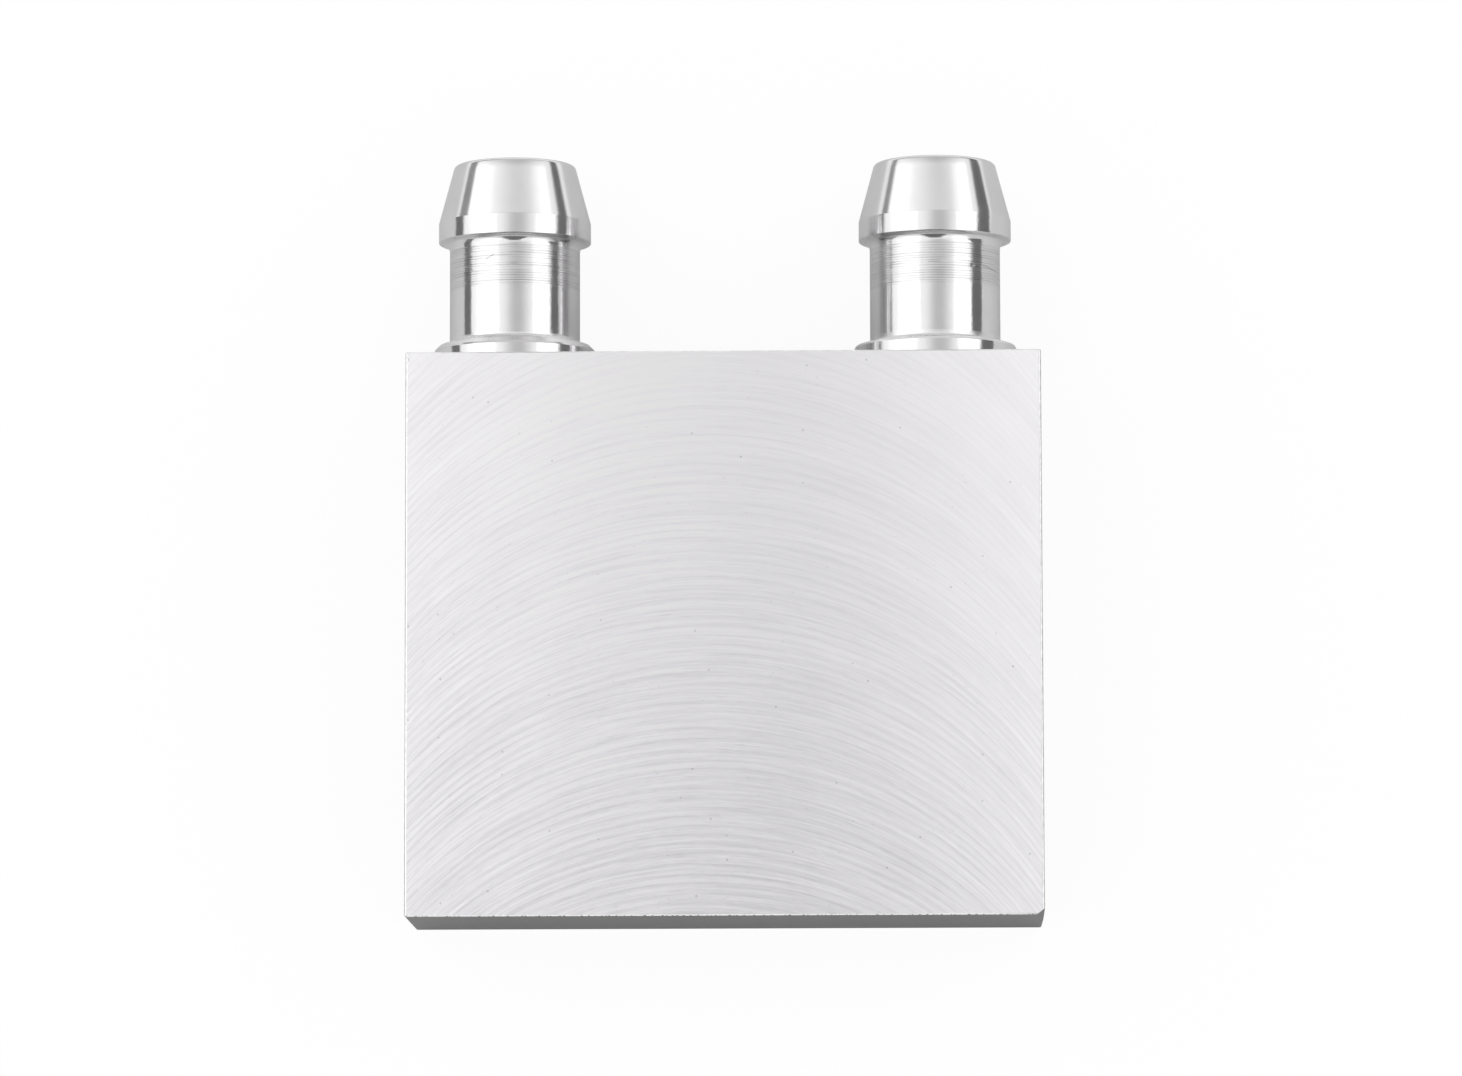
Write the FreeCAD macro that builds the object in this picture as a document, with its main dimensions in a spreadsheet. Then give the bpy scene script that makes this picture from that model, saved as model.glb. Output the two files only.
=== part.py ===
import FreeCAD, Part
import math
import os

import Sketcher

# Liquid cooling cold plate: a flat aluminium block with two hose barbs in one end.
#
# The block is two half shells of one design, brazed face to face at mid-thickness. Each shell is
# a tray whose floor carries 45-degree ribs; the second shell is the first one turned over, so its
# ribs cross those of the first and the coolant weaves between the two layers. A divider from the
# port wall sends the coolant down one half of the block, round the far end and back up the other.
# Each hose barb is a turned tube with a single barb, a seating flange and a spigot that is pressed
# into the port, which is bored through the brazed seam.
#
# Frame, in millimetres: the origin is the centre of the back face, +Z is the normal of the heated
# face, and +Y is the way the barbs point.

SIZES = {
    # The block
    "plate_width": 40.0,  # along X
    "plate_length": 35.6,  # along Y, without the barbs
    "plate_thickness": 12.0,  # along Z, both shells together
    "side_edge_round": 0.15,  # on the large faces' two long edges, along Y
    "end_edge_break": 0.08,  # chamfer round both ends, left by a quick pass of a file
    "face_wall": 2.0,  # metal between the coolant and each large face
    "side_wall": 2.5,
    "far_wall": 2.5,  # end wall away from the barbs
    "port_wall": 3.5,  # end wall that holds the barbs
    "pocket_corner": 2.0,  # radius that the cutter leaves in the tray's corners
    # Inside the tray
    "header_length": 5.0,  # clear space behind the ports
    "turn_length": 4.0,  # clear space at the far end, where the coolant turns round
    "divider_thickness": 1.5,
    "rib_thickness": 1.0,
    "rib_gap": 2.5,
    # A corner of the heated face has been knocked off
    "chip_width": 0.5,  # along X
    "chip_length": 0.4,  # along Y
    "chip_depth": 7.0,  # along Z
    # The barbs
    "barb_inset": 6.6,  # from the side of the block to the barb's axis
    "bore_diameter": 6.0,
    "spigot_diameter": 8.0,
    "press_clearance": 0.01,  # between the spigot and its port, on the radius
    "spigot_lead": 0.4,  # chamfer that starts the spigot in its port
    "flange_diameter": 10.3,
    "flange_thickness": 1.0,
    "flange_chamfer": 0.25,
    "neck_diameter": 8.3,
    "neck_length": 6.55,  # from the flange to the back of the barb
    "neck_fillet": 0.45,  # where the neck meets the flange
    "head_diameter": 9.7,
    "shoulder_length": 0.25,  # slope at the back of the barb
    "band_length": 1.25,  # straight part of the barb
    "cone_length": 3.75,
    "tip_diameter": 7.7,
    "tip_round": 0.3,
    "bore_lead": 0.2,  # chamfer at the mouth of the bore
}

ROOT_2 = math.sqrt(2)  # a 45-degree bar measures this many times more along X than across
SAME = 1e-4  # two lengths closer than this are the same


class Dim:
    """A length worked out from the sheet: its value now, and the expression that keeps it so."""

    def __init__(self, value, text):
        self.value = value
        self.text = text

    def join(self, sign, other, value):
        text = other.text if isinstance(other, Dim) else repr(other)
        return Dim(value, f"({self.text} {sign} {text})")

    def __add__(self, other):
        return self.join("+", other, self.value + number(other))

    def __sub__(self, other):
        return self.join("-", other, self.value - number(other))

    def __mul__(self, other):
        return self.join("*", other, self.value * number(other))

    def __truediv__(self, other):
        return self.join("/", other, self.value / number(other))

    def __neg__(self):
        return self * -1


def number(length):
    return length.value if isinstance(length, Dim) else float(length)


def size(alias):
    return Dim(SIZES[alias], f"Sizes.{alias}")


def barb_place():
    """How far each barb's axis lies from the middle of the block."""
    return size("plate_width") / 2 - size("barb_inset")


def make_sheet(doc):
    sheet = doc.addObject("Spreadsheet::Sheet", "Sizes")
    for row, (alias, value) in enumerate(SIZES.items(), start=1):
        sheet.set(f"A{row}", alias)
        sheet.set(f"B{row}", str(value))
        sheet.setAlias(f"B{row}", alias)
    doc.recompute()


def bind(item, name, length):
    """Drives a property of a document object from the sheet."""
    item.setExpression(name, length.text)


# ---------------------------------------------------------------- sketches and features


def new_sketch(body, name, plane, height=None):
    """A sketch on one of the body's origin planes, lifted along the plane's normal."""
    sketch = body.newObject("Sketcher::SketchObject", name)
    planes = [f for f in body.Origin.OriginFeatures if f.Role == plane]
    sketch.AttachmentSupport = [(planes[0], "")]
    sketch.MapMode = "FlatFace"
    if height is not None:
        bind(sketch, "AttachmentOffset.Base.z", height)
    return sketch


def place_point(sketch, edge, end, across, up):
    """Ties one end of an edge, or a circle's centre, to a place in the sketch."""
    for kind, length in (("DistanceX", across), ("DistanceY", up)):
        index = sketch.addConstraint(
            Sketcher.Constraint(kind, -1, 1, edge, end, number(length))
        )
        if isinstance(length, Dim):
            bind(sketch, f"Constraints[{index}]", length)


def draw_outline(sketch, corners):
    """A closed outline of straight edges through the corners, each corner driven by the sheet."""
    count = len(corners)
    for index in range(count):
        start = [number(length) for length in corners[index]]
        end = [number(length) for length in corners[(index + 1) % count]]
        line = Part.LineSegment(FreeCAD.Vector(*start, 0), FreeCAD.Vector(*end, 0))
        sketch.addGeometry(line, False)
    for index in range(count):
        sketch.addConstraint(
            Sketcher.Constraint("Coincident", index, 2, (index + 1) % count, 1)
        )
    for index, (across, up) in enumerate(corners):
        place_point(sketch, index, 1, across, up)


def draw_rectangle(sketch, left, right, low, high):
    draw_outline(sketch, [(left, low), (right, low), (right, high), (left, high)])


def draw_circle(sketch, across, up, radius):
    centre = FreeCAD.Vector(number(across), number(up), 0)
    edge = sketch.addGeometry(
        Part.Circle(centre, FreeCAD.Vector(0, 0, 1), radius.value), False
    )
    place_point(sketch, edge, 3, across, up)
    index = sketch.addConstraint(Sketcher.Constraint("Radius", edge, radius.value))
    bind(sketch, f"Constraints[{index}]", radius)


def pad(body, name, sketch, length):
    feature = body.newObject("PartDesign::Pad", name)
    feature.Profile = sketch
    bind(feature, "Length", length)
    body.Document.recompute()
    return feature


def pocket(body, name, sketch, length, reverse=False):
    feature = body.newObject("PartDesign::Pocket", name)
    feature.Profile = sketch
    feature.Reversed = reverse
    bind(feature, "Length", length)
    body.Document.recompute()
    return feature


def dress(body, kind, name, property_name, length, wanted):
    """A fillet or chamfer on the edges of the body's tip for which wanted(edge) is true."""
    base = body.Tip
    edges = [
        f"Edge{index}"
        for index, edge in enumerate(base.Shape.Edges, start=1)
        if wanted(edge)
    ]
    feature = body.newObject(f"PartDesign::{kind}", name)
    feature.Base = (base, edges)
    bind(feature, property_name, length)
    body.Document.recompute()
    return feature


def near(first, second):
    return abs(first - second) < SAME


def is_circle(edge, radius, height):
    """Whether the edge is a circle about the body's Z axis with that radius and height."""
    return (
        isinstance(edge.Curve, Part.Circle)
        and near(edge.Curve.Radius, number(radius))
        and near(edge.Curve.Center.z, number(height))
    )


# ---------------------------------------------------------------- the block


def make_tray(doc, name):
    """One half shell without its ribs, open side up, with its outer face on the XY plane."""
    half_width = size("plate_width") / 2
    half_length = size("plate_length") / 2
    depth = size("plate_thickness") / 2
    inner_x = half_width - size("side_wall")
    inner_far = size("far_wall") - half_length
    inner_port = half_length - size("port_wall")
    cavity = depth - size("face_wall")

    body = doc.addObject("PartDesign::Body", name)
    outline = new_sketch(body, name + "_outline", "XY_Plane")
    draw_rectangle(outline, -half_width, half_width, -half_length, half_length)
    pad(body, name + "_blank", outline, depth)

    def is_side_edge(edge):
        box = edge.BoundBox
        return near(box.ZMax, 0) and box.YLength > SAME

    dress(
        body,
        "Fillet",
        name + "_side_edges",
        "Radius",
        size("side_edge_round"),
        is_side_edge,
    )

    def is_end_edge(edge):
        box = edge.BoundBox
        in_end_face = near(box.YLength, 0) and near(abs(box.YMax), half_length.value)
        return in_end_face and not near(box.ZMin, depth.value)

    dress(
        body,
        "Chamfer",
        name + "_end_edges",
        "Size",
        size("end_edge_break"),
        is_end_edge,
    )

    floor = new_sketch(body, name + "_cavity_outline", "XY_Plane", depth)
    draw_rectangle(floor, -inner_x, inner_x, inner_far, inner_port)
    pocket(body, name + "_cavity", floor, cavity)

    def is_cavity_corner(edge):
        box = edge.BoundBox
        return (
            near(box.ZLength, cavity.value)
            and near(abs(box.Center.x), inner_x.value)
            and near(box.XLength, 0)
        )

    dress(
        body,
        "Fillet",
        name + "_cavity_corners",
        "Radius",
        size("pocket_corner"),
        is_cavity_corner,
    )

    wall = new_sketch(
        body, name + "_divider_outline", "XY_Plane", size("face_wall")
    )
    half_divider = size("divider_thickness") / 2
    draw_rectangle(
        wall,
        -half_divider,
        half_divider,
        inner_far + size("turn_length"),
        inner_port,
    )
    pad(body, name + "_divider", wall, cavity)

    ports = new_sketch(body, name + "_port_circles", "XZ_Plane", -half_length)
    for side in (-1, 1):
        draw_circle(ports, barb_place() * side, depth, size("spigot_diameter") / 2)
    pocket(body, name + "_ports", ports, size("port_wall"), reverse=True)
    return body


def make_ribs(doc, name):
    """The 45-degree ribs on the tray's floor: a row of slanting bars, cut off at the cavity."""
    half_length = size("plate_length") / 2
    inner_width = size("plate_width") - size("side_wall") * 2
    low = size("far_wall") + size("turn_length") - half_length
    high = half_length - size("port_wall") - size("header_length")
    length = high - low
    height = size("plate_thickness") / 2 - size("face_wall")
    bar = size("rib_thickness") * ROOT_2
    step = (size("rib_thickness") + size("rib_gap")) * ROOT_2
    # The bars slope to the left going up, so the row starts at the cavity's left end and runs on
    # past its right end by the bars' lean.
    first = -inner_width / 2 + bar / 2

    bars = doc.addObject("PartDesign::Body", name + "_bars")
    slant = new_sketch(bars, name + "_bar_outline", "XY_Plane", size("face_wall"))
    draw_outline(
        slant,
        [
            (first - bar / 2, low),
            (first + bar / 2, low),
            (first + bar / 2 - length, high),
            (first - bar / 2 - length, high),
        ],
    )
    first_bar = pad(bars, name + "_bar", slant, height)
    row = bars.newObject("PartDesign::LinearPattern", name + "_row")
    row.Originals = [first_bar]
    row.Direction = (slant, ["H_Axis"])
    row.Mode = "Spacing"
    bind(row, "Offset", step)
    row.setExpression(
        "Occurrences", f"ceil({(inner_width + length).text} / {step.text})"
    )
    bars.Tip = row
    doc.recompute()

    space = doc.addObject("Part::Box", name + "_space")
    bind(space, "Length", inner_width)
    bind(space, "Width", length)
    bind(space, "Height", height)
    bind(space, "Placement.Base.x", -inner_width / 2)
    bind(space, "Placement.Base.y", low)
    bind(space, "Placement.Base.z", size("face_wall"))

    ribs = doc.addObject("Part::Common", name)
    ribs.Base = bars
    ribs.Tool = space
    return ribs


def make_shell(doc, label):
    """A tray with its ribs, as one piece."""
    shell = doc.addObject("Part::MultiFuse", label)
    shell.Shapes = [make_tray(doc, label + "_tray"), make_ribs(doc, label + "_ribs")]
    shell.Refine = True
    doc.recompute()
    return shell


def turn_over(shell):
    """Puts a shell face down on top of the other one."""
    shell.Placement = FreeCAD.Placement(
        FreeCAD.Vector(0, 0, SIZES["plate_thickness"]),
        FreeCAD.Rotation(FreeCAD.Vector(0, 1, 0), 180),
    )
    bind(shell, "Placement.Base.z", size("plate_thickness"))


def make_chip(doc):
    """The missing corner of the heated face, a thin sliver that runs out down the edge."""
    corner = FreeCAD.Vector(
        SIZES["plate_width"] / 2, -SIZES["plate_length"] / 2, SIZES["plate_thickness"]
    )
    points = [
        corner,
        corner - FreeCAD.Vector(SIZES["chip_width"], 0, 0),
        corner + FreeCAD.Vector(0, SIZES["chip_length"], 0),
        corner - FreeCAD.Vector(0, 0, SIZES["chip_depth"]),
    ]
    faces = []
    for left_out in range(len(points)):
        triangle = points[:left_out] + points[left_out + 1 :]
        faces.append(Part.Face(Part.makePolygon(triangle + triangle[:1])))
    chip = doc.addObject("Part::Feature", "chip")
    chip.Shape = Part.makeSolid(Part.makeShell(faces))
    return chip


def make_block(doc):
    lower = make_shell(doc, "lower_shell")
    whole = make_shell(doc, "upper_shell_whole")
    turn_over(whole)
    upper = doc.addObject("Part::Cut", "upper_shell")
    upper.Base = whole
    upper.Tool = make_chip(doc)
    return [lower, upper]


# ---------------------------------------------------------------- the barbs


def make_barb(doc, label, side):
    """A turned hose barb. Its axis is the body's Z axis, and its flange seats at height 0."""
    bore = size("bore_diameter") / 2
    spigot = size("spigot_diameter") / 2 - size("press_clearance")
    spigot_length = size("port_wall")
    flange = size("flange_diameter") / 2
    neck = size("neck_diameter") / 2
    head = size("head_diameter") / 2
    tip = size("tip_diameter") / 2
    flange_top = size("flange_thickness")
    neck_top = flange_top + size("neck_length")
    band_low = neck_top + size("shoulder_length")
    band_top = band_low + size("band_length")
    top = band_top + size("cone_length")

    body = doc.addObject("PartDesign::Body", label)
    profile = new_sketch(body, label + "_profile", "XZ_Plane")
    draw_outline(
        profile,
        [
            (bore, -spigot_length),
            (spigot, -spigot_length),
            (spigot, 0),
            (flange, 0),
            (flange, flange_top),
            (neck, flange_top),
            (neck, neck_top),
            (head, band_low),
            (head, band_top),
            (tip, top),
            (bore, top),
        ],
    )
    turned = body.newObject("PartDesign::Revolution", label + "_turned")
    turned.Profile = profile
    turned.ReferenceAxis = (profile, ["V_Axis"])
    turned.Angle = 360
    doc.recompute()

    edges = [
        ("Chamfer", "flange_chamfer", "Size", flange, flange_top),
        ("Fillet", "neck_fillet", "Radius", neck, flange_top),
        ("Fillet", "tip_round", "Radius", tip, top),
        ("Chamfer", "bore_lead", "Size", bore, top),
        ("Chamfer", "spigot_lead", "Size", spigot, -spigot_length),
    ]
    for kind, alias, property_name, radius, height in edges:
        dress(
            body,
            kind,
            f"{label}_{alias}",
            property_name,
            size(alias),
            lambda edge, r=radius, z=height: is_circle(edge, r, z),
        )

    body.Placement.Rotation = FreeCAD.Rotation(FreeCAD.Vector(1, 0, 0), -90)
    bind(body, "Placement.Base.x", barb_place() * side)
    bind(body, "Placement.Base.y", size("plate_length") / 2)
    bind(body, "Placement.Base.z", size("plate_thickness") / 2)
    return body


# ---------------------------------------------------------------- the model


def check(doc, parts):
    for item in doc.Objects:
        if "Invalid" in item.State or "Error" in item.State:
            raise RuntimeError(f"{item.Label} failed: {item.State}")
    for part in parts:
        shape = part.Shape
        if shape.isNull() or not shape.isValid() or not shape.Solids:
            raise RuntimeError(f"{part.Label} has no valid solid")


def main():
    doc = FreeCAD.newDocument("cold_plate")
    make_sheet(doc)
    parts = make_block(doc)
    parts.append(make_barb(doc, "inlet_barb", -1))
    parts.append(make_barb(doc, "outlet_barb", 1))
    doc.recompute()
    check(doc, parts)
    os.makedirs("parts", exist_ok=True)
    for part in parts:
        part.Shape.exportStep(f"parts/{part.Label}.step")
        box = part.Shape.BoundBox
        print(
            f"{part.Label}: {len(part.Shape.Solids)} solid, {part.Shape.Volume:.2f} mm3,"
            f" X {box.XMin:.2f} to {box.XMax:.2f}, Y {box.YMin:.2f} to {box.YMax:.2f},"
            f" Z {box.ZMin:.2f} to {box.ZMax:.2f}"
        )


main()
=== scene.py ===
import bpy
import math
import random
from mathutils import Matrix, Vector, noise


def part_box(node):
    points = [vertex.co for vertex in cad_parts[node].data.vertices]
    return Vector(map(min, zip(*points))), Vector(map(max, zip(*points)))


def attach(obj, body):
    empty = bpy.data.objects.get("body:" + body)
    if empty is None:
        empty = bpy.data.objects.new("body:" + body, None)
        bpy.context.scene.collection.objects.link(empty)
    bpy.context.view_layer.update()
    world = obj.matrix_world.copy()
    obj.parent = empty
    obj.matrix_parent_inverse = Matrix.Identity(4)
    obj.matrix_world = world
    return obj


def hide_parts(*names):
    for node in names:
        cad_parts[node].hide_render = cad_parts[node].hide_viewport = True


# The looks of an aluminium cold plate: a fly-cut block with two turned hose barbs.
#
# The two shells of the block are the CAD's own, with new materials. The barbs are turned again
# here, with their tool marks and dents, and a burr is added along one edge of the block.
#
# Lengths on the object are written in millimetres, and MM turns them into metres. Lengths on the
# stage around it are in metres. A level is a grey, where 0 is black and 1 is white.

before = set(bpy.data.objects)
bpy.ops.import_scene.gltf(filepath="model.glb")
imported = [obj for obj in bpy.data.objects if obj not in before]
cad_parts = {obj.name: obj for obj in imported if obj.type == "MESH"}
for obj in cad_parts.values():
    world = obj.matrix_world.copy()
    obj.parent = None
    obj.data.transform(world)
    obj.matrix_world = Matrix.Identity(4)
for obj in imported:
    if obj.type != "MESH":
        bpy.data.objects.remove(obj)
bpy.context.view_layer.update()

MM = 0.001
SHELLS = ("lower_shell", "upper_shell")

BLOCK_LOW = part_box("lower_shell")[0]
BLOCK_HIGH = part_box("upper_shell")[1]

# The path of the fly cutter over the large faces.
ARC_RADIUS = 25.4  # of the circle that the cutter's tip runs on
ARC_MIDDLE = -1.1  # the X of that circle's middle
FEED = 0.6  # how far the block moves under the cutter in each of its turns

# Heights on a barb, over the block's end face.
SPIGOT_END = -3.5
NECK_TOP = 7.2  # where the neck meets the head's shoulder
BAND_LOW = 7.8  # where the straight band round the head starts
CONE_START = 9.05  # where the head starts to taper
BARB_TOP = 12.8
RINGED_LENGTH = 2.6  # of the neck, under the head, that shows the tool's rings


# ---------------------------------------------------------------- node trees


class Field:
    """A number that varies over a surface: the output of a shader node, with arithmetic."""

    def __init__(self, nodes, socket):
        self.nodes = nodes
        self.socket = socket

    def math(self, operation, *others):
        node = self.nodes.add("ShaderNodeMath", operation=operation)
        for socket, value in zip(node.inputs, (self, *others)):
            self.nodes.feed(socket, value)
        return Field(self.nodes, node.outputs[0])

    def __add__(self, other):
        return self.math("ADD", other)

    def __sub__(self, other):
        return self.math("SUBTRACT", other)

    def __mul__(self, other):
        return self.math("MULTIPLY", other)

    def __truediv__(self, other):
        return self.math("DIVIDE", other)

    def squared(self):
        return self.math("MULTIPLY", self)

    def root(self):
        return self.math("SQRT")

    def step(self, low, high):
        """0 where this field is under low, 1 where it is over high, and smooth between.

        With low over high it is the other way round: 1 under high, and 0 over low.
        """
        node = self.nodes.add(
            "ShaderNodeMapRange",
            {"Value": self, "From Min": low, "From Max": high},
            interpolation_type="SMOOTHSTEP",
        )
        return Field(self.nodes, node.outputs["Result"])

    def between(self, low, high):
        """Maps 0 to low and 1 to high."""
        return self * (high - low) + low


class Nodes:
    """A material's or the world's node tree, with a short call for each kind of node."""

    def __init__(self, owner):
        owner.use_nodes = True
        self.owner = owner
        self.tree = owner.node_tree
        self.tree.nodes.clear()

    def add(self, kind, inputs=None, **settings):
        """A new node. Its inputs are given by name or number, and its settings by name."""
        node = self.tree.nodes.new(kind)
        for name, value in settings.items():
            setattr(node, name, value)
        for name, value in (inputs or {}).items():
            self.feed(node.inputs[name], value)
        return node

    def feed(self, socket, value):
        """Links a field or another node's output to the socket, or sets a constant on it."""
        if isinstance(value, Field):
            value = value.socket
        if isinstance(value, bpy.types.NodeSocket):
            self.tree.links.new(value, socket)
        else:
            socket.default_value = value

    def place(self):
        """The three coordinates of the point, in millimetres."""
        point = self.add("ShaderNodeTexCoord").outputs["Object"]
        return [axis * (1 / MM) for axis in self.split(point)]

    def split(self, vector):
        node = self.add("ShaderNodeSeparateXYZ", {"Vector": vector})
        return [Field(self, socket) for socket in node.outputs]

    def vector(self, x, y, z):
        node = self.add("ShaderNodeCombineXYZ", {"X": x, "Y": y, "Z": z})
        return node.outputs["Vector"]

    def noise(self, point, scale=1.0, detail=2.0, roughness=0.5):
        inputs = {"Vector": point, "Scale": scale, "Detail": detail, "Roughness": roughness}
        return Field(self, self.add("ShaderNodeTexNoise", inputs).outputs[0])

    def dots(self, point, scale, radius, share):
        """1 inside small round dots, 0 outside: one dot in that share of the cells."""
        cells = self.add("ShaderNodeTexVoronoi", {"Vector": point, "Scale": scale})
        chance = self.split(cells.outputs["Color"])[0]
        inside = Field(self, cells.outputs["Distance"]).step(radius, radius * 0.5)
        return inside * chance.math("LESS_THAN", share)

    def stroke(self, x, y, start, end, width):
        """1 on a thin straight line between two points of the XY plane, 0 beside it."""
        taper = 0.3  # of the line's length, at each end
        run = Vector(end) - Vector(start)
        way = run.normalized()
        off_x, off_y = x - start[0], y - start[1]
        forward = off_x * way.x + off_y * way.y
        sideways = off_x * -way.y + off_y * way.x
        inside = forward.step(0, run.length * taper)
        inside = inside * forward.step(run.length, run.length * (1 - taper))
        return sideways.math("ABSOLUTE").step(width, 0) * inside

    def grey(self, level, tint=(1.0, 1.0, 1.0)):
        """A colour of that level, which is a field, with each channel times the tint's."""
        red, green, blue = (level * part for part in tint)
        channels = {"Red": red, "Green": green, "Blue": blue}
        return self.add("ShaderNodeCombineColor", channels).outputs["Color"]

    def bump(self, height):
        """The normal that goes with a height in millimetres."""
        inputs = {"Height": height * MM, "Distance": 1.0, "Strength": 1.0}
        return self.add("ShaderNodeBump", inputs).outputs["Normal"]

    def metal(self, **inputs):
        """The finished material. Its inputs are the shader's, with _ for each space."""
        named = {name.replace("_", " "): value for name, value in inputs.items()}
        shader = self.add("ShaderNodeBsdfPrincipled", {"Metallic": 1.0, **named})
        return self.surface(shader)

    def surface(self, shader):
        """Ends a material with that shader, and returns the material."""
        self.add("ShaderNodeOutputMaterial", {"Surface": shader.outputs[0]})
        return self.owner


def new_nodes(name):
    return Nodes(bpy.data.materials.new(name))


# ---------------------------------------------------------------- materials
#
# In each of these, a tone is added to the level of the metal's colour, and a height in a bump is
# in millimetres.


def fly_cut_face():
    """A large face of the block: arcs left by the cutter, each a copy of the last along Y."""
    n = new_nodes("fly_cut_face")
    x, y, _ = n.place()
    across = (x - ARC_MIDDLE) / ARC_RADIUS
    along = (across.squared() * -1 + 1).root()
    feed = y - along * ARC_RADIUS
    arc = across.math("ARCSINE") * ARC_RADIUS

    def drawn_out(wide, long, seed, **settings):
        """Noise that is drawn out along the arcs, with grains that wide and that long."""
        return n.noise(n.vector(feed / wide, arc / long, seed), **settings)

    def scallops(turn):
        """0 where a cut is deepest, 1 on the crest half a turn of the cutter further on."""
        return turn.math("PINGPONG", 0.5).squared() * 4

    # Each turn of the cutter leaves a wide scallop with a weaker one inside it, none quite alike.
    drift = drawn_out(wide=2.5, long=25, seed=0) * 1.5
    turn = feed / FEED + drift
    groove = scallops(turn + 0.3).squared()
    strength = drawn_out(wide=0.9, long=11, seed=3).step(0.3, 0.7)
    marks = scallops(turn) * strength.between(0.3, 1.2)
    marks = marks + scallops(turn * 2) * strength.between(0.9, 0.3)
    marks = marks - groove * strength.between(0.2, 1.0)

    # Finer and coarser marks along the arcs, and clouds over the whole face.
    streaks = drawn_out(wide=0.14, long=5, seed=7, detail=3, roughness=0.7)
    grain = drawn_out(wide=0.11, long=0.7, seed=11)
    dashes = drawn_out(wide=0.12, long=1.8, seed=13, detail=1).step(0.66, 0.76)
    bands = drawn_out(wide=1.3, long=30, seed=5)
    clouds = n.noise(n.vector(x / 6, y / 6, 9), detail=3)

    # The marks are deepest in the corner where the cutter started and fade towards the other one.
    depth = (y * -1 + x * -0.6).step(-28, 28).between(0.35, 1.5)

    pits = n.dots(n.vector(x, y, 0), scale=1.0, radius=0.09, share=0.3)
    specks = n.dots(n.vector(x, y, 5), scale=1.4, radius=0.12, share=0.35)
    scratch = n.stroke(x, y, start=(4.9, -12.6), end=(7.0, -15.0), width=0.035)
    nick = n.stroke(x, y, start=(-20.0, 17.8), end=(-19.7, 17.1), width=0.06)

    height = (marks * 0.0030 + streaks * 0.0040) * depth + bands * 0.004
    tone = (marks - 0.3) * 0.062 + (streaks - 0.5) * 0.32 + (grain - 0.5) * 0.08
    tone = tone - dashes * 0.06
    # The bands and clouds are the metal's own tone. The rise in level towards +Y, and the lighter
    # stretch from X -18.5 to 4 that is fullest between -11 and -4, are painted sheen: the face is
    # made lighter and darker where the arcs catch more or less light.
    patches_and_painted_sheen = (bands - 0.5) * 0.10 + (clouds - 0.5) * 0.05 + y * 0.0027
    patches_and_painted_sheen = patches_and_painted_sheen + x.step(-18.5, -11) * x.step(4, -4) * 0.05
    level = tone * depth + patches_and_painted_sheen + 0.915
    level = level - pits * 0.24 - specks * 0.07 - nick * 0.3 + scratch * 0.08
    return n.metal(
        Base_Color=n.grey(level, tint=(1.0, 0.985, 1.005)),
        Roughness=0.45,
        Anisotropic=0.65,
        Tangent=n.vector(across, along, 0),
        Normal=n.bump(height - pits * 0.004),
    )


def cut_end_with_painted_shade():
    """The block's narrow faces: duller, with fine lines along them from the side of a cutter. Their
    dark grey is partly that duller finish and partly painted shade.
    """
    n = new_nodes("cut_end_with_painted_shade")
    x, y, z = n.place()
    along = x + y
    lines = n.noise(n.vector(along / 9, z / 0.12, 0), detail=3, roughness=0.6)
    chatter = n.noise(n.vector(along / 0.4, z / 7, 4))
    stain = n.noise(n.vector(x / 7, y / 7, z / 5), detail=3)
    tone = (lines - 0.5) * 0.14 + (chatter - 0.5) * 0.05 + (stain - 0.5) * 0.06
    # The low level of 0.47 is partly the duller finish and partly painted shade: the dark that the
    # ends show where they mirror the shaded floor at their foot.
    return n.metal(
        Base_Color=n.grey(tone + 0.47),
        Roughness=lines.between(0.24, 0.36),
        Specular_Tint=(0.42, 0.42, 0.42, 1.0),
        Normal=n.bump(lines * 0.004 + chatter * 0.003),
    )


def rubbed_edge():
    """The narrow breaks along the block's edges, rubbed brighter than the faces."""
    n = new_nodes("rubbed_edge")
    wear = n.noise(n.vector(*n.place()), scale=2.5, detail=3)
    return n.metal(
        Base_Color=n.grey(wear.step(0.3, 0.7).between(0.76, 0.92)),
        Roughness=0.30,
        Normal=n.bump(wear * 0.02),
    )


def torn_edge():
    """The burr: fresh, rough metal that is bright from every side, with dark specks."""
    n = new_nodes("torn_edge")
    x, y, _ = n.place()
    end = BLOCK_LOW.y / MM
    brink = y.step(end + 0.05, end + 0.02)
    specks = n.noise(n.vector(x / 0.22, 0, 0), detail=3).step(0.52, 0.58) * brink
    return n.metal(
        Base_Color=n.grey(specks.between(1.0, 0.25)),
        Roughness=0.8,
        Normal=n.bump(specks * -0.02),
    )


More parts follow.
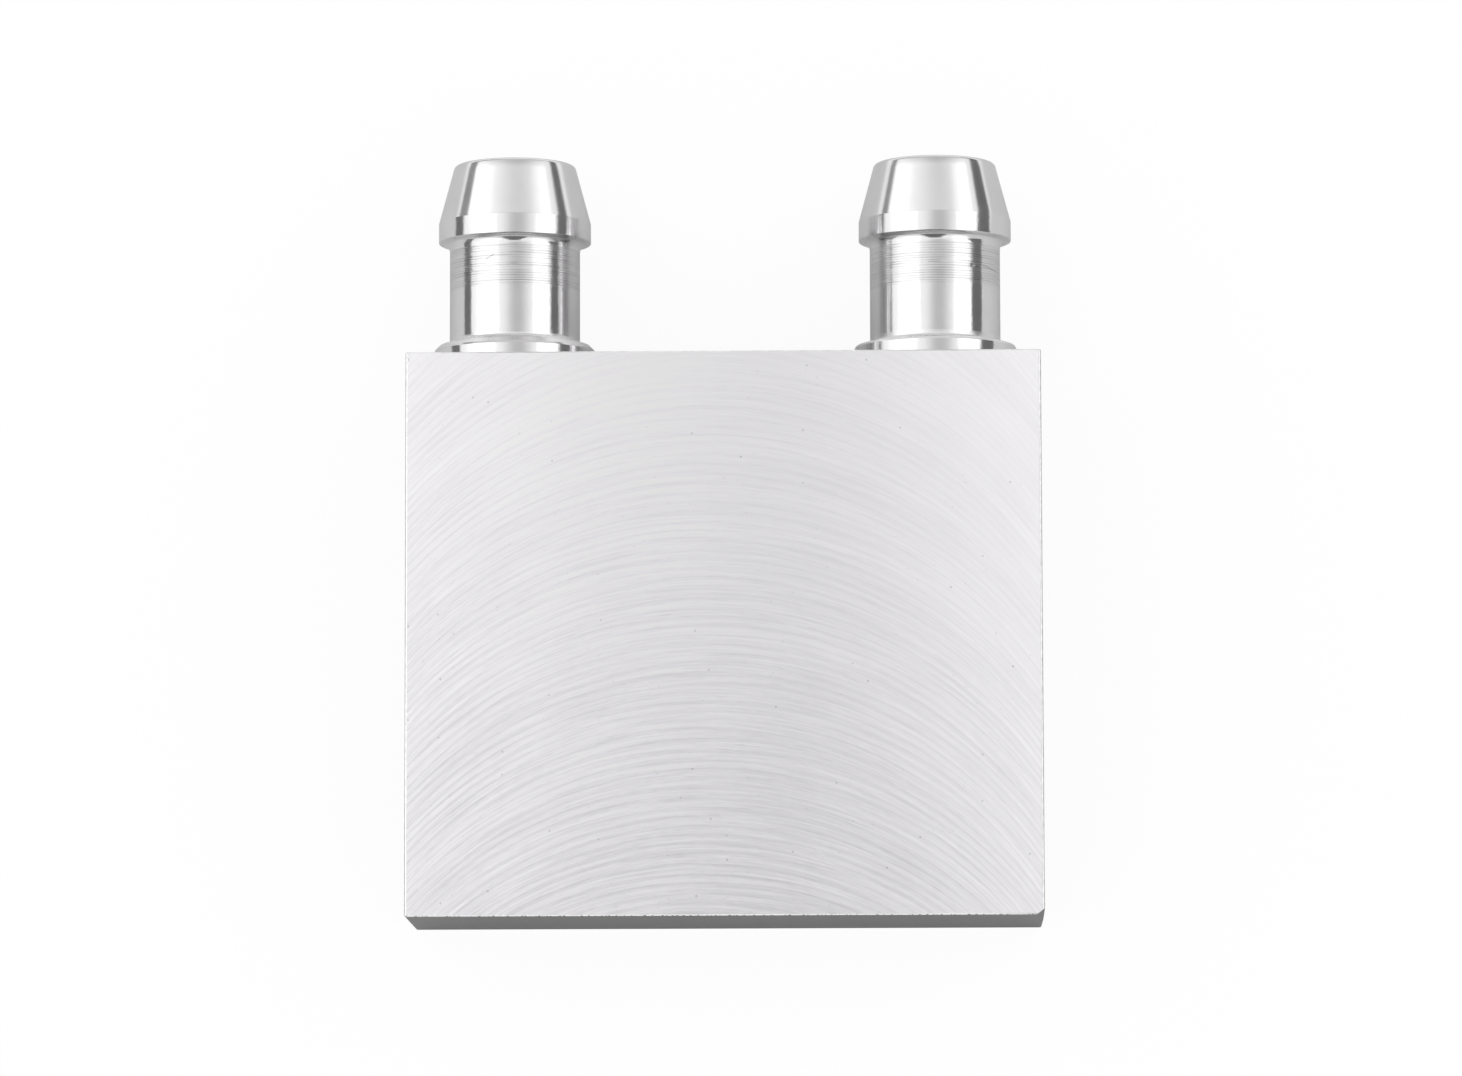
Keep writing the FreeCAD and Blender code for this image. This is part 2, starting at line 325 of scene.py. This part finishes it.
def turned_metal():
    """A turned barb: bright, with reflections drawn out along its axis by the tool marks."""
    n = new_nodes("turned_metal")
    x, y, z = n.place()

    # The stretches of the barb that differ: the head's cone, the ringed end of the neck, the
    # fillet at the neck's foot, and the thicker flange's chamfer just below that.
    height = y - BLOCK_HIGH.y / MM
    cone = height.step(CONE_START - 0.03, CONE_START + 0.03)
    ringed = height.step(NECK_TOP - RINGED_LENGTH - 0.1, NECK_TOP - RINGED_LENGTH + 0.1)
    ringed = ringed * height.step(NECK_TOP + 0.02, NECK_TOP)
    foot = height.step(0.82, 0.90) * height.step(1.60, 1.50)
    chamfer_highlight = foot * height.step(1.20, 1.12)

    ring_pitch = 0.16
    # The rings darken the lines of the tool's grooves as painted shade.
    rings = (height / ring_pitch).math("PINGPONG", 0.5).step(0.1, 0.4)
    rings = rings * n.noise(n.vector(x / 5, y / 0.2, z / 5)).step(0.3, 0.7)
    tool_marks = n.noise(n.vector(x / 6, y / 0.05, z / 6))
    dings = n.noise(n.vector(x, y, z), scale=4.0, detail=3) * (cone * -1 + 1)
    smears = n.noise(n.vector(x, y, z), scale=0.8, detail=3)

    # Two thin scratches on the upper side: one on each neck.
    scratches = n.stroke(x, y, start=(-15.2, 24.0), end=(-14.4, 24.4), width=0.05)
    scratches = scratches + n.stroke(x, y, start=(16.2, 23.7), end=(17.6, 23.3), width=0.05)
    scratches = scratches * z.step(6, 7)

    # The foot is a little lighter, and its chamfer lighter still: painted highlight, for the bright
    # line along the flange's chamfer.
    level = smears.between(0.76, 0.84) + foot * 0.05 + chamfer_highlight * 0.12
    # The cone is a little darker, and the ringed stretch is darker, most along its rings: painted
    # shade.
    level = level - cone * 0.02 - ringed * (rings * 0.22 + 0.04)
    return n.metal(
        Base_Color=n.grey(level - scratches * 0.35, tint=(1.0, 0.99, 1.0)),
        Roughness=cone * 0.02 + ringed * 0.06 + foot * 0.14 + smears.between(0.10, 0.16),
        Anisotropic=0.6,
        Tangent=(0.0, 1.0, 0.0),
        Normal=n.bump(tool_marks * 0.0004 + dings * 0.0036),
    )


# ---------------------------------------------------------------- making objects


def add_object(name, data):
    """A new object in the scene, made of a mesh, a lamp or a camera."""
    made = bpy.data.objects.new(name, data)
    bpy.context.scene.collection.objects.link(made)
    return made


def add_mesh(name, vertices, faces, material):
    mesh = bpy.data.meshes.new(name)
    mesh.from_pydata(vertices, [], faces)
    mesh.materials.append(material)
    return add_object(name, mesh)


# ---------------------------------------------------------------- the block


def dress_shell(shell, face, end, edge):
    """Gives each of a shell's polygons the finish of the face that it belongs to."""
    lying, standing = 0.999, 0.2  # limits on how steep the normals of such faces are
    mesh = shell.data
    mesh.materials.clear()
    for material in (face, end, edge):
        mesh.materials.append(material)
    for polygon in mesh.polygons:
        rise = abs(polygon.normal.z)
        if rise > lying:
            polygon.material_index = 0
        elif rise < standing:
            polygon.material_index = 1
        else:
            polygon.material_index = 2


def make_burr(material):
    """The ragged line of metal that the cutter pushed over the edge away from the barbs.

    It lies in the break of that edge, so it stands out from neither face. It starts a little in
    from the left corner, and narrows towards the right one, which is knocked off.
    """
    edge_break = 0.08
    step = 0.03
    corner, chip = 0.2, 0.6
    narrowing = 14  # the length over which it narrows
    skin = 0.002  # how far it stays under the block's faces
    left, right = BLOCK_LOW.x / MM + corner, BLOCK_HIGH.x / MM - chip
    end, top = BLOCK_LOW.y / MM, BLOCK_HIGH.z / MM
    rows = 4
    vertices = []
    count = int((right - left) / step)
    for index in range(count + 1):
        x = left + index * step
        wide = 0.5 + 0.5 * noise.noise(Vector((x * 2.1, 0, 0)))
        torn = 0.5 + 0.9 * noise.noise(Vector((x * 7.0, 5, 0)))
        fade = min(1, (right - x) / narrowing)
        inner = edge_break * (0.7 + (0.9 + 0.9 * wide) * fade)
        lip = edge_break * (0.15 + 0.6 * torn)
        drop = edge_break * (1.0 + 1.8 * torn * wide)
        section = (
            (end + inner, top - skin),
            (end + lip, top - lip * 0.3),
            (end + skin, top - edge_break * 0.6),
            (end + skin, top - drop),
        )
        vertices += [Vector((x, y, z)) * MM for y, z in section]
    faces = [(0, 1, 2, 3), tuple(count * rows + row for row in (3, 2, 1, 0))]
    for index in range(count):
        for row in range(rows):
            first, second = index * rows + row, index * rows + (row + 1) % rows
            faces.append((first, first + rows, second + rows, second))
    burr = add_mesh("burr", vertices, faces, material)
    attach(burr, "root")


# ---------------------------------------------------------------- the barbs


def arc_points(centre, radius, start, stop, count):
    """Points on an arc, as (radius, height) pairs, with its angles in degrees."""
    points = []
    for step in range(count + 1):
        angle = math.radians(start + (stop - start) * step / count)
        reach, rise = radius * math.cos(angle), radius * math.sin(angle)
        points.append((centre[0] + reach, centre[1] + rise))
    return points


def barb_profile(flange_top, flange_edge):
    """The barb's outline from the bore at its tip, round the outside, to the spigot's end.

    Each point is a radius and a height over the block's end face.
    """
    bore, spigot, flange, neck, head, tip = 3.0, 3.99, 5.15, 4.15, 4.85, 3.85
    mouth = 0.2  # the break round the bore's mouth
    nose = 0.3  # the rounding of the tip
    lip = 0.05  # the rounding under the head's band
    shoulder, throat = 0.25, 0.8  # the two fillets under the head
    foot = 0.42  # the fillet between the neck and the flange
    facet = 0.06  # the small flat between the flange's chamfer and its rim
    lead_in = 0.4  # the chamfer at the spigot's end
    points = [(bore, SPIGOT_END), (bore, BARB_TOP - mouth), (bore + mouth, BARB_TOP)]
    points += arc_points((tip - nose * 0.78, BARB_TOP - nose), nose, 90, 16, 8)
    points += [(head, CONE_START)]
    points += arc_points((head - lip, BAND_LOW + lip), lip, 0, -45, 3)
    points += arc_points((neck + 0.334, NECK_TOP + 0.300), shoulder, 105, 145, 5)
    points += arc_points((neck + throat, NECK_TOP), throat, 147, 180, 6)
    points += turned_neck(neck, flange_top + foot, NECK_TOP)[::-1]
    points += arc_points((neck + foot, flange_top + foot), foot, 180, 262, 8)[1:]
    points += [(flange - flange_edge, flange_top)]
    points += [(flange - facet, flange_top - flange_edge + facet)]
    points += [(flange, flange_top - flange_edge - facet)]
    points += [(flange, 0.0), (spigot, 0.0)]
    points += [(spigot, SPIGOT_END + lead_in), (spigot - lead_in, SPIGOT_END)]
    return points


def turned_neck(radius, low, high):
    """The neck's outline, from low to high: smooth below, with the tool's fine rings above."""
    pitch = 0.12
    deepest = 0.006
    chance = random.Random(7)
    points = [(radius, low), (radius, high - RINGED_LENGTH)]
    height = high - RINGED_LENGTH
    while height + pitch < high:
        depth = chance.uniform(0.2, 1.0) * deepest
        points.append((radius, height + pitch * 0.68))
        points.append((radius - depth, height + pitch * 0.84))
        points.append((radius, height + pitch))
        height += pitch * chance.uniform(0.9, 1.1)
    return points


def split_outline(outline, longest):
    """The outline with points added, so that no stretch is over that length."""
    points = []
    for (r0, h0), (r1, h1) in zip(outline, outline[1:] + outline[:1]):
        parts = max(1, math.ceil(math.hypot(r1 - r0, h1 - h0) / longest))
        for part in range(parts):
            share = part / parts
            points.append((r0 + (r1 - r0) * share, h0 + (h1 - h0) * share))
    return points


def dent(turn, height, wide, tall, depth):
    """A dent as a function of the place on the barb: a smooth pit of that depth.

    Its turn about the axis and its width round it are angles in radians.
    """

    def sunk(turn_here, height_here):
        off_turn = (turn_here - turn) / wide
        off_height = (height_here - height) / tall
        return depth * math.exp(-(off_turn**2) - off_height**2)

    return sunk


def make_barb(node, material, flange_top, flange_edge, dents):
    """Turns one barb about the CAD barb's axis, with its dents pressed in."""
    sides = 256
    longest = 0.5  # stretch between two points of the outline
    sharpest = math.radians(12)  # fold that is still shaded smooth
    low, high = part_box(node)
    seat = Vector(((low.x + high.x) / 2, BLOCK_HIGH.y, (low.z + high.z) / 2))
    outline = split_outline(barb_profile(flange_top, flange_edge), longest)
    vertices = []
    for step in range(sides):
        turn = 2 * math.pi * step / sides
        for radius, height in outline:
            sunk = sum(dent_at(turn, height) for dent_at in dents)
            reach = (radius - sunk) * MM
            offset = (reach * math.sin(turn), height * MM, reach * math.cos(turn))
            vertices.append(seat + Vector(offset))
    count = len(outline)
    faces = []
    for step in range(sides):
        here, there = step * count, (step + 1) % sides * count
        for index in range(count):
            following = (index + 1) % count
            faces.append((here + index, here + following, there + following, there + index))
    barb = add_mesh(node + "_turned", vertices, faces, material)
    barb.data.shade_smooth()
    barb.data.set_sharp_from_angle(angle=sharpest)
    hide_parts(node)
    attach(barb, "root")


# ---------------------------------------------------------------- stage


def plain_grey(name, shader_kind, level):
    """A material of one plain shader and one grey."""
    n = new_nodes(name)
    return n.surface(n.add(shader_kind, {"Color": (level, level, level, 1.0)}))


def floor_white():
    """White that keeps a faint shadow: partly lit, and partly bright by itself where it is seen."""
    level = 0.95
    bright_share = 0.93
    n = new_nodes("floor")
    rays = n.add("ShaderNodeLightPath").outputs
    seen = Field(n, rays["Is Camera Ray"]) + Field(n, rays["Is Glossy Ray"])
    seen = seen + Field(n, rays["Is Transmission Ray"])
    lit = n.add("ShaderNodeBsdfDiffuse", {"Color": (level, level, level, 1.0)})
    glow = n.add("ShaderNodeEmission", {"Color": (1.0, 1.0, 1.0, 1.0), "Strength": 1.0})
    share = seen.math("MINIMUM", 1) * bright_share
    blend = n.add("ShaderNodeMixShader", {0: share, 1: lit.outputs[0], 2: glow.outputs[0]})
    return n.surface(blend)


def level_sheet(low, high, height):
    """The corners of a level rectangle between two places on the floor, at that height."""
    (x0, y0), (x1, y1) = low, high
    return [(x0, y0, height), (x1, y0, height), (x1, y1, height), (x0, y1, height)]


def make_card(name, corners, material):
    """A flat sheet through four corners, which isn't part of the object."""
    card = add_mesh(name, corners, [(0, 1, 2, 3)], material)
    return card


def seen_in_metal_only(card):
    """Leaves a card in the metal's reflections, and takes it out of all else."""
    card.visible_camera = False
    card.visible_diffuse = False
    card.visible_shadow = False


def make_floor():
    make_card("floor", level_sheet((-2.0, -2.0), (2.0, 2.0), 0), floor_white())


def make_table():
    """A grey card under the object and in front of it, just over the floor."""
    corners = level_sheet((-0.4, -0.4), (0.4, 0.045), 0.0001)
    material = plain_grey("table", "ShaderNodeBsdfDiffuse", 0.66)
    seen_in_metal_only(make_card("table", corners, material))


def make_flag(name, start, end, start_height, end_height, level):
    """A dark card on its edge, from one place on the floor to another."""
    corners = [(*start, 0), (*end, 0), (*end, end_height), (*start, start_height)]
    material = plain_grey(name, "ShaderNodeEmission", level)
    seen_in_metal_only(make_card(name, corners, material))


def make_world():
    """A white tent, greyer towards the horizon, with a soft grey spot where the camera looks in."""
    tent, spot_drop, horizon_drop = 1.09, 0.49, 0.40
    world = bpy.data.worlds.new("studio")
    bpy.context.scene.world = world
    n = Nodes(world)
    x, y, z = n.split(n.add("ShaderNodeTexCoord").outputs["Generated"])

    # The spot is wider towards the barbs, and shorter on its other side.
    off_x = (x - 0.12) / y.step(0.2, 0.6).between(0.48, 0.66)
    off_y = (y - 0.12) / 0.9
    off_y = off_y.math("MAXIMUM", off_y * -1.4)
    spot = (off_x.squared() + off_y.squared()).root().step(1, 0.1)

    # The horizon is grey on all four sides, and grey further up away from the barbs.
    horizon = x.math("ABSOLUTE").step(0.85, 0.97).math("MAXIMUM", y.step(0.62, 0.72))
    horizon = horizon.math("MAXIMUM", y.step(-0.55, -0.85))
    horizon = horizon.math("MAXIMUM", z.step(0.65, 0.3) * y.step(-0.1, -0.4))

    level = spot * -spot_drop - horizon * horizon_drop + tent
    sky = n.add("ShaderNodeBackground", {"Color": n.grey(level), "Strength": 1.0})
    n.add("ShaderNodeOutputWorld", {"Surface": sky.outputs[0]})


def make_softbox(name, near_angle, far_angle, length, radiance):
    """A flat lamp beside the object that fills the stretch of sky between the two angles.

    The angles are in degrees from straight up, towards +X.
    """
    distance = 1.0
    middle = math.radians((near_angle + far_angle) / 2)
    spread = math.radians(abs(far_angle - near_angle) / 2)
    lamp = bpy.data.lights.new(name, "AREA")
    lamp.shape = "RECTANGLE"
    lamp.size = 2 * distance * math.tan(spread)
    lamp.size_y = length
    lamp.energy = radiance * math.pi * lamp.size * lamp.size_y
    box = add_object(name, lamp)
    box.location = (math.sin(middle) * distance, 0, math.cos(middle) * distance)
    box.rotation_euler = (0, middle, 0)
    box.visible_camera = False


def make_camera():
    """The camera looks down on the face from a little towards the end away from the barbs."""
    place = Vector((10.43, -50.92, 481.01)) * MM
    turns = ((-0.0024, "Z"), (0.0215, "Y"), (0.1205, "X"))  # radians from straight down
    data = bpy.data.cameras.new("camera")
    data.sensor_width = 36.0
    data.lens = 185.48
    data.clip_start = 0.01
    data.clip_end = 10.0
    camera = add_object("camera", data)
    roll, yaw, pitch = (Matrix.Rotation(angle, 4, axis) for angle, axis in turns)
    camera.matrix_world = Matrix.Translation(place) @ roll @ yaw @ pitch
    bpy.context.scene.camera = camera


# ---------------------------------------------------------------- the scene


make_camera()
make_floor()
make_table()
make_world()
make_softbox("softbox_left", near_angle=-26, far_angle=-81, length=1.6, radiance=0.42)
make_softbox("softbox_right", near_angle=34, far_angle=66.7, length=1.6, radiance=0.42)

# On the left, for the dark stripe on the left of each neck and cone.
make_flag(
    "flag_left",
    start=(-0.075, -0.3),
    end=(-0.075, 0.05),
    start_height=0.018,
    end_height=0.018,
    level=0.17,
)
make_flag(
    "flag_left_far",
    start=(-0.075, 0.05),
    end=(-0.075, 0.3),
    start_height=0.018,
    end_height=0.018,
    level=0.32,
)
# On the right, for the dark stripe on the right of each neck and cone.
make_flag(
    "flag_right",
    start=(0.34, -0.1),
    end=(0.34, 0.35),
    start_height=0.198,
    end_height=0.046,
    level=0.16,
)
make_flag(
    "flag_right_near",
    start=(0.066, 0.046),
    end=(0.066, 0.12),
    start_height=0.014,
    end_height=0.014,
    level=0.16,
)
# In front: a high dark card that the block's end mirrors, and before its foot a lighter one that
# the large face mirrors when it is seen from low behind.
make_flag(
    "flag_front",
    start=(-0.22, -0.5),
    end=(0.22, -0.5),
    start_height=1.5,
    end_height=1.5,
    level=0.15,
)
make_flag(
    "flag_front_low",
    start=(-0.22, -0.49),
    end=(0.22, -0.49),
    start_height=0.2,
    end_height=0.2,
    level=0.55,
)

face, end, edge = fly_cut_face(), cut_end_with_painted_shade(), rubbed_edge()
for name in SHELLS:
    dress_shell(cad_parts[name], face, end, edge)
make_burr(torn_edge())

turned = turned_metal()
make_barb(
    "inlet_barb",
    turned,
    flange_top=1.15,
    flange_edge=0.34,
    dents=[dent(turn=math.radians(-16), height=6.1, wide=0.13, tall=0.035, depth=0.006)],
)
make_barb(
    "outlet_barb",
    turned,
    flange_top=1.0,
    flange_edge=0.08,
    dents=[
        dent(turn=math.radians(35), height=5.75, wide=0.035, tall=0.10, depth=0.012),
        dent(turn=math.radians(60), height=5.5, wide=0.22, tall=0.03, depth=0.015),
    ],
)

bpy.context.scene.view_settings.view_transform = "Standard"
